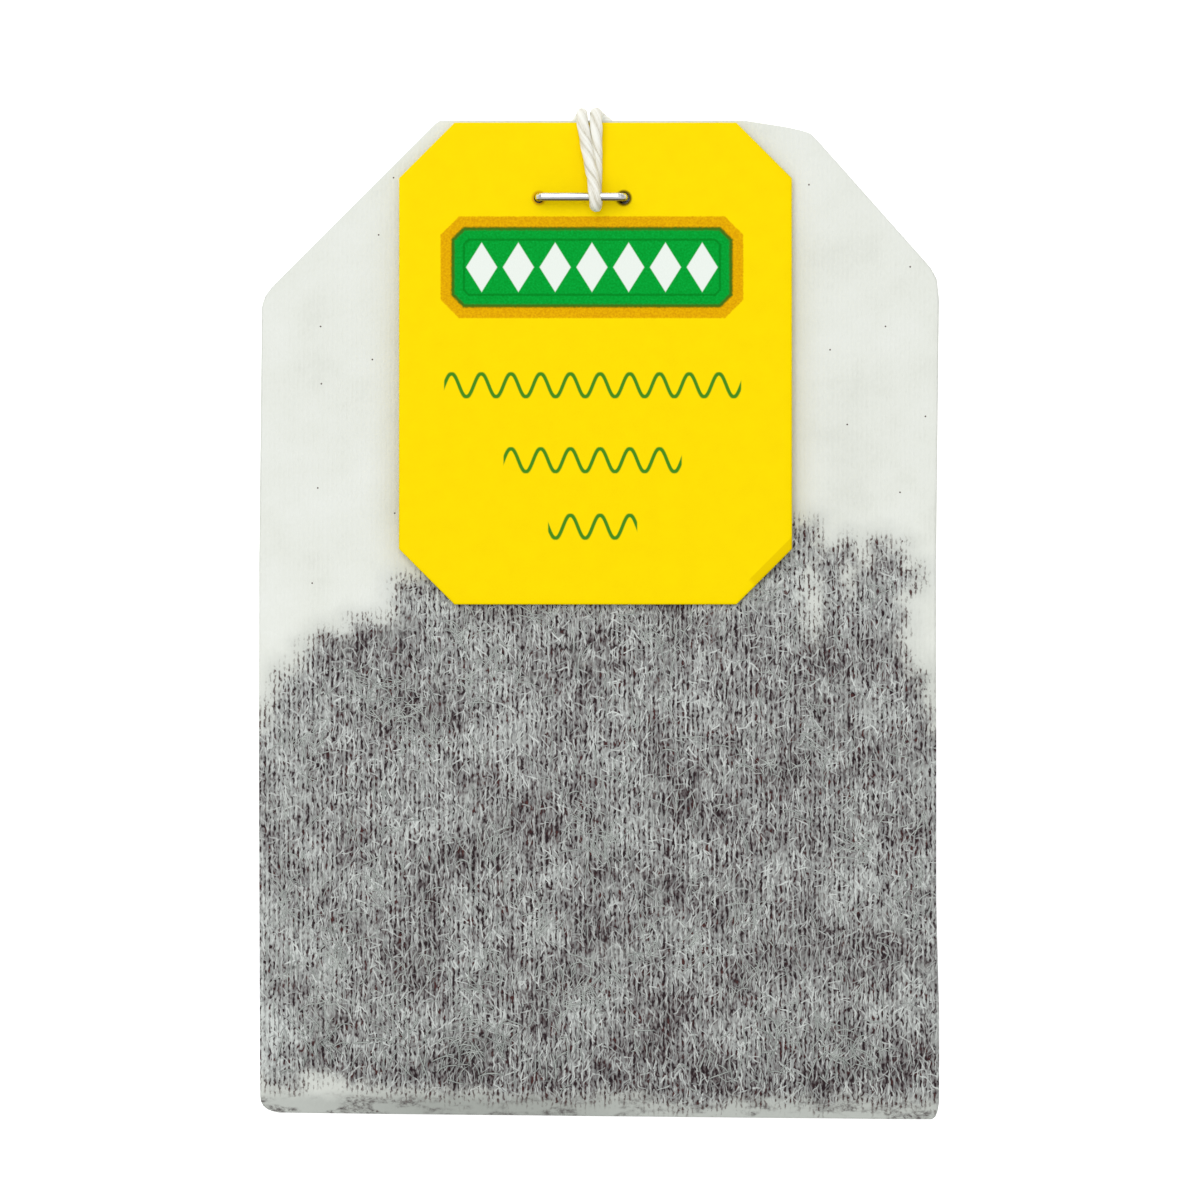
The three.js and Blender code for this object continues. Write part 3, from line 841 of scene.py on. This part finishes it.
def make_folds(back_roof, front_floor):
    """The folded corners and top strip on the back, and the W fold between the pouches."""
    low, high, inner = CORNER_FOLD
    flap_low, flap_high, flap_length, tip = TOP_FLAP
    seam_top = back_roof - FLAT / 2
    left, right = left_edge(TOP) + 2 * SET_BACK, right_edge(TOP) - 2 * SET_BACK
    head, seam = FOLD_HEAD - SET_BACK, FOLD_SEAM
    flap_foot = TOP - flap_length
    side, foot = HALF - GUSSET_GROOVE, BOTTOM + GUSSET_GROOVE
    gusset_head = BOTTOM + GUSSET_HEIGHT
    corner_left = [*left_fold(0), (-inner, FOLD_HEAD), (-inner, FOLD_FOOT)]
    corner_right = [*right_fold(0), (inner, FOLD_HEAD), (inner, FOLD_FOOT)]
    edge_left = [*left_fold(0), *reversed(left_fold(seam))]
    edge_right = [*right_fold(seam), *reversed(right_fold(0))]
    flap = [(left, FOLD_HEAD), (-tip, flap_foot), (tip, flap_foot), (right, FOLD_HEAD)]
    top_edge = [(left, head), (left + seam, head - seam), (right - seam, head - seam), (right, head)]
    gusset = [(-side, foot), (side, foot), (side, gusset_head), (-side, gusset_head)]
    return [
        plate("paper_corner_fold_left", corner_left, low, high, FOLD_SWELL),
        plate("paper_corner_fold_right", corner_right, low, high, FOLD_SWELL),
        plate("paper_fold_edge_left", edge_left, low, seam_top),
        plate("paper_fold_edge_right", edge_right, low, seam_top),
        plate("paper_top_flap", flap, flap_low, flap_high, FLAP_SWELL),
        plate("paper_top_edge", top_edge, flap_low + SET_BACK, back_roof - FLAT),
        plate("paper_gusset", gusset, back_roof, front_floor),
    ]


def make_paper():
    front_floor = MID_PLANE + POUCH_GAP / 2
    back_roof = MID_PLANE - POUCH_GAP / 2

    def front_roof(u, x, y):
        return front_floor + depth(u, y, FULL) + lumps(x, y, FRONT_SEED, u)

    def back_floor(u, x, y):
        return max(0.0, back_roof - depth(u, y, FULL + BACK_EXTRA) - lumps(x, y, BACK_SEED, u))

    pieces = [
        pouch("paper_front_pouch", lambda u, x, y: front_floor, front_roof),
        pouch("paper_back_pouch", back_floor, lambda u, x, y: back_roof),
        *make_folds(back_roof, front_floor),
    ]
    material = PaperMaterial()
    for piece in pieces:
        piece.data.materials.append(material.data)
    for piece in [*pieces, make_fibres()]:
        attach(piece, "root")
        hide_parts("filter_paper")


make_paper()


# ----------------------------------------------------------------------
# Finishes of the CAD nodes that stay
# ----------------------------------------------------------------------
def dress(node, material):
    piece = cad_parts[node]
    piece.data.materials.clear()
    piece.data.materials.append(material.data)


def tea_material():
    tea = Material("tea", Roughness=0.9)
    grain = tea.noise(tea.mm, 2.2, 4, 0.7)
    tea.set("Base Color", tea.colours(grain, [
        (0.3, srgb(24, 15, 12)), (0.55, srgb(58, 38, 30)), (0.75, srgb(104, 74, 56)),
    ]))
    tea.bump(grain, 0.8, 0.4)
    return tea


def wire_material():
    """Bright wire, with a painted dark reflection on its side towards -Y and a little on the one
    towards +Y.
    """
    wire = Material("staple_wire", Metallic=1.0, Roughness=0.22)
    marks = wire.noise(wire.vector("MULTIPLY", wire.mm, (1.5, 9, 9)), 1.0, 3)
    bright = wire.colours(marks, [(0.3, srgb(196, 199, 204)), (0.7, srgb(236, 238, 240))])
    facing = wire.split(wire.tree.nodes.new("ShaderNodeNewGeometry").outputs["Normal"])[1]
    # Painted dark reflection, set by which way the wire's surface faces
    painted_dark_reflection = wire.math("MAXIMUM", wire.ramp(facing, -0.35, -0.8),
                        wire.ramp(facing, 0.75, 0.95, 0.0, 0.6))
    wire.set("Base Color", wire.blend(painted_dark_reflection, bright, srgb(132, 126, 112)))
    wire.bump(marks, 0.25, 0.03)
    return wire


# The tag's print: a green panel with cut corners and an amber border, a row of white lozenges on
# it, and three waved rules below.
PANEL = {"centre": (-0.5, 24.95), "half": (10.7, 3.6), "cut": 1.3, "border": 0.8}
LOZENGE = {"half": (1.1, 1.75), "pitch": 2.6, "count": 7}
RULES = [(16.6, 10.5), (11.3, 6.3), (6.6, 3.15)]  # y and half length
RULE_CENTRE = -0.45
RULE_WAVE = (0.8, 2.1)  # height of a wave either way, and its length
RULE_STROKE = 0.13  # half a stroke's width
# The pressed crease: x - y at the cut corner, its width, and x + y at one end
CREASE = {"edge": 8.62, "width": 0.62, "start": 13.2}
PRINT_EDGE = 0.06  # softness of the print's edges
# x and radius of the holes for the staple's legs, and the colour of the painted shade on the card round
# each
HOLES = [(-4.25, 0.36, (214, 160, 10)), (1.75, 0.42, (74, 48, 8))]


class CardMaterial(Material):
    """Coated card with its print, a crease, and painted shade round the staple's legs."""

    def __init__(self):
        super().__init__("tag_card", Roughness=0.42, Specular_IOR_Level=0.02)
        self.x, self.y, _ = self.split(self.mm)
        mottle = self.noise(self.mm, 0.7, 4, 0.6)
        colour = self.colours(mottle, [(0.3, (0.975, 0.715, 0.0)), (0.7, (0.995, 0.745, 0.0))])
        for layer in (self.panel, self.lozenges, self.rules, self.crease, self.hole_shade):
            colour = layer(colour)
        self.set("Base Color", colour)
        self.bump(self.noise(self.mm, 5.0, 3), 0.06, 0.03)

    def covered(self, under, where, strength, rgb):
        return self.blend(self.math("MULTIPLY", where, strength), under, rgb)

    def panel(self, under):
        """An amber field, a green one inside it, a dark line between them and a thin inner line."""
        outer = self.cut_box(self.x, self.y, PANEL["centre"], PANEL["half"], PANEL["cut"])
        outer = self.math("ADD", outer, self.spread(self.noise(self.mm, 6.0, 2), 0.12))
        inner = self.math("ADD", outer, PANEL["border"])
        screen = self.noise(self.mm, 7.0, 2)
        amber = self.colours(screen, [(0.35, srgb(218, 158, 0)), (0.65, srgb(236, 180, 0))])
        green = self.colours(screen, [
            (0.3, srgb(0, 148, 42)), (0.55, srgb(0, 163, 52)), (0.8, srgb(10, 174, 66)),
        ])
        colour = self.blend(self.ramp(outer, PRINT_EDGE, -PRINT_EDGE), under, amber)
        colour = self.blend(self.ramp(inner, PRINT_EDGE, -PRINT_EDGE), colour, green)
        to_keyline = self.away(inner, -0.06)
        colour = self.covered(colour, self.ramp(to_keyline, 0.2, 0.05), 0.75, srgb(74, 90, 4))
        to_inner_line = self.away(inner, -0.85)
        return self.covered(colour, self.ramp(to_inner_line, 0.12, 0.04), 0.6, srgb(0, 118, 22))

    def lozenges(self, under):
        (half_x, half_y), pitch, count = LOZENGE["half"], LOZENGE["pitch"], LOZENGE["count"]
        along = self.math("SUBTRACT", self.x, PANEL["centre"][0] - pitch * count / 2)
        index = self.math("FLOOR", self.math("DIVIDE", along, pitch))
        in_row = self.math("LESS_THAN", self.away(index, (count - 1) / 2), count / 2)
        place = self.math("FLOORED_MODULO", along, pitch)
        across = self.math("DIVIDE", self.away(place, pitch / 2), half_x)
        up = self.math("DIVIDE", self.away(self.y, PANEL["centre"][1]), half_y)
        lozenge = self.ramp(self.math("ADD", across, up), 1.05, 0.95)
        return self.covered(under, lozenge, in_row, srgb(236, 243, 236))

    def rules(self, under):
        """Waved lines; dividing by the wave's steepness keeps each stroke's width even."""
        wave, length = RULE_WAVE
        phase = self.math("MULTIPLY", self.math("SUBTRACT", self.x, RULE_CENTRE), 2 * math.pi / length)
        curve = self.math("MULTIPLY", self.math("SINE", phase), wave)
        slope = self.math("MULTIPLY", self.math("COSINE", phase), wave * 2 * math.pi / length)
        steep = self.math("SQRT", self.math("MULTIPLY_ADD", slope, slope, 1.0))
        for centre_y, half in RULES:
            offset = self.away(self.math("SUBTRACT", self.y, curve), centre_y)
            ink = self.ramp(self.math("DIVIDE", offset, steep), RULE_STROKE + 0.05, RULE_STROKE - 0.05)
            ends = self.ramp(self.away(self.x, RULE_CENTRE), half + 0.05, half - 0.05)
            under = self.covered(under, ink, ends, srgb(70, 138, 30))
        return under

    def crease(self, under):
        """The lower right corner, folded once and pressed flat again."""
        off_edge = self.math("SUBTRACT", CREASE["edge"], self.math("SUBTRACT", self.x, self.y))
        off_edge = self.math("DIVIDE", off_edge, math.sqrt(2))
        along = self.math("ADD", self.x, self.y)
        band = self.math("MULTIPLY",
                         self.ramp(off_edge, CREASE["width"] + 0.05, CREASE["width"] - 0.05),
                         self.ramp(along, CREASE["start"], CREASE["start"] + 0.6))
        return self.covered(under, band, 0.85, srgb(234, 200, 0))

    def hole_shade(self, under):
        # Painted shade on the card round each hole for a staple's leg
        for hole_x, radius, rgb in HOLES:
            across = self.math("SUBTRACT", self.x, hole_x)
            up = self.math("SUBTRACT", self.y, STAPLE_Y)
            squared = self.math("MULTIPLY_ADD", across, across, self.math("MULTIPLY", up, up))
            painted_hole_shade = self.ramp(self.math("SQRT", squared), radius + 0.24, radius + 0.04)
            under = self.covered(under, painted_hole_shade, 0.9, srgb(*rgb))
        return under


TAG_TILT = 0.012  # the card rises this much for each mm towards its foot
TAG_THICKNESS = 0.25
# The card's rounded rim: how far in from the outline, and how far below the face
RIM = [(0.0, -0.16), (0.03, -0.085), (0.08, -0.05), (0.18, -0.03), (0.35, -0.012), (0.6, 0.0)]
BACK_INSET = 0.02  # the back's outline is this much smaller
HOLE_SIDES = 24


def octagon(inset):
    """The tag's outline moved inwards, with the angled sides moved as far as the straight ones."""
    (cx, cy), (hx, hy) = TAG_CENTRE, TAG_HALF
    trim = TAG_CHAMFER + inset * (math.sqrt(2) - 1)
    right, top = hx - inset, hy - inset
    corner_x, corner_y = hx - trim, hy - trim
    quarter = [(right, corner_y), (corner_x, top)]
    points = quarter + [(-x, y) for x, y in reversed(quarter)]
    points += [(-x, -y) for x, y in points]
    return [(cx + x, cy + y) for x, y in points]


def tag_under(y):
    """Height of the card's underside."""
    return TAG_UNDERSIDE + (STAPLE_Y - y) * TAG_TILT


def make_tag():
    """A card with a rounded, slightly pressed rim, and pierced by the staple's legs."""
    mesh = bmesh.new()
    rings = []
    for inset, drop in [(BACK_INSET, -TAG_THICKNESS), *RIM]:
        rise = TAG_THICKNESS + drop
        rings.append([mesh.verts.new((x, y, tag_under(y) + rise)) for x, y in octagon(inset)])
    for lower, upper in zip(rings, rings[1:]):
        for i in range(8):
            j = (i + 1) % 8
            mesh.faces.new((lower[i], lower[j], upper[j], upper[i]))
    mesh.faces.new(rings[-1])
    mesh.faces.new(list(reversed(rings[0])))
    piece = bmesh_object("tag_card", mesh)
    for x, radius, _ in HOLES:
        pierce(piece, x, STAPLE_Y, radius)
    # Only the rim is shaded smooth: neither the flat faces nor the small walls of the holes.
    for polygon in piece.data.polygons:
        polygon.use_smooth = abs(polygon.normal.z) < 0.9995 and polygon.area > (0.5 * MM) ** 2
    piece.data.materials.append(CardMaterial().data)
    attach(piece, "root")
    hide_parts("tag")


def pierce(piece, x, y, radius):
    """Cuts a round hole for a staple's leg through the card."""
    bpy.ops.mesh.primitive_cylinder_add(vertices=HOLE_SIDES, radius=radius * MM, depth=4 * MM,
                                        location=(x * MM, y * MM, TAG_UNDERSIDE * MM))
    cutter = bpy.context.object
    cut = piece.modifiers.new("hole", "BOOLEAN")
    cut.operation = "DIFFERENCE"
    cut.object = cutter
    cut.solver = "EXACT"
    bpy.context.view_layer.objects.active = piece
    bpy.ops.object.modifier_apply(modifier=cut.name)
    bpy.data.objects.remove(cutter)


tea = tea_material()
wire = wire_material()
dress("tea_leaves_front", tea)
dress("tea_leaves_back", tea)
dress("tag_staple", wire)
dress("bag_staple", wire)
make_tag()


# ----------------------------------------------------------------------
# Floor and light
# ----------------------------------------------------------------------
FLOOR_HALF = 900
FLOOR_DROP = 0.02  # keeps the floor clear of the bag's underside
KEY_PLACE = (-0.18, 0.30, 0.85)  # in metres, as the lamp's size is
KEY_SIZE = 0.7
KEY_POWER = 3.65


def make_stage():
    corners = [(-1, -1), (1, -1), (1, 1), (-1, 1)]
    verts = [(x * FLOOR_HALF, y * FLOOR_HALF, 0) for x, y in corners]
    floor = mesh_object("floor", verts, [(0, 1, 2, 3)])
    floor.location.z = -FLOOR_DROP * MM
    white = Material("floor_white", Base_Color=(0.92, 0.92, 0.92), Roughness=0.9,
                     Emission_Color=(1, 1, 1), Emission_Strength=0.55)
    floor.data.materials.append(white.data)


def make_key():
    data = bpy.data.lights.new("key", "AREA")
    data.size = KEY_SIZE
    data.energy = KEY_POWER
    light = bpy.data.objects.new("key", data)
    light.location = KEY_PLACE
    light.rotation_euler = (-Vector(KEY_PLACE)).to_track_quat("-Z", "Y").to_euler()
    bpy.context.scene.collection.objects.link(light)


def make_world():
    """A grey surround, lightest overhead, that the camera itself sees as a plain white wall."""
    world = bpy.data.worlds.new("studio")
    world.use_nodes = True
    nodes, links = world.node_tree.nodes, world.node_tree.links
    background = nodes["Background"]
    background.inputs["Strength"].default_value = 1.0
    coords = nodes.new("ShaderNodeTexCoord")
    axes = nodes.new("ShaderNodeSeparateXYZ")
    ramp = nodes.new("ShaderNodeValToRGB")
    low, high = ramp.color_ramp.elements
    low.position, low.color = 0.0, (0.26, 0.26, 0.27, 1.0)
    high.position, high.color = 0.75, (0.77, 0.77, 0.77, 1.0)
    path = nodes.new("ShaderNodeLightPath")
    wall = nodes.new("ShaderNodeMix")
    wall.data_type = "RGBA"
    wall.inputs[7].default_value = (1.0, 1.0, 1.0, 1.0)
    links.new(coords.outputs["Generated"], axes.inputs[0])
    links.new(axes.outputs[2], ramp.inputs[0])
    links.new(path.outputs["Is Camera Ray"], wall.inputs["Factor"])
    links.new(ramp.outputs[0], wall.inputs[6])
    links.new(wall.outputs[2], background.inputs["Color"])
    bpy.context.scene.world = world


make_stage()
make_key()
make_world()
bpy.context.scene.view_settings.view_transform = "Standard"
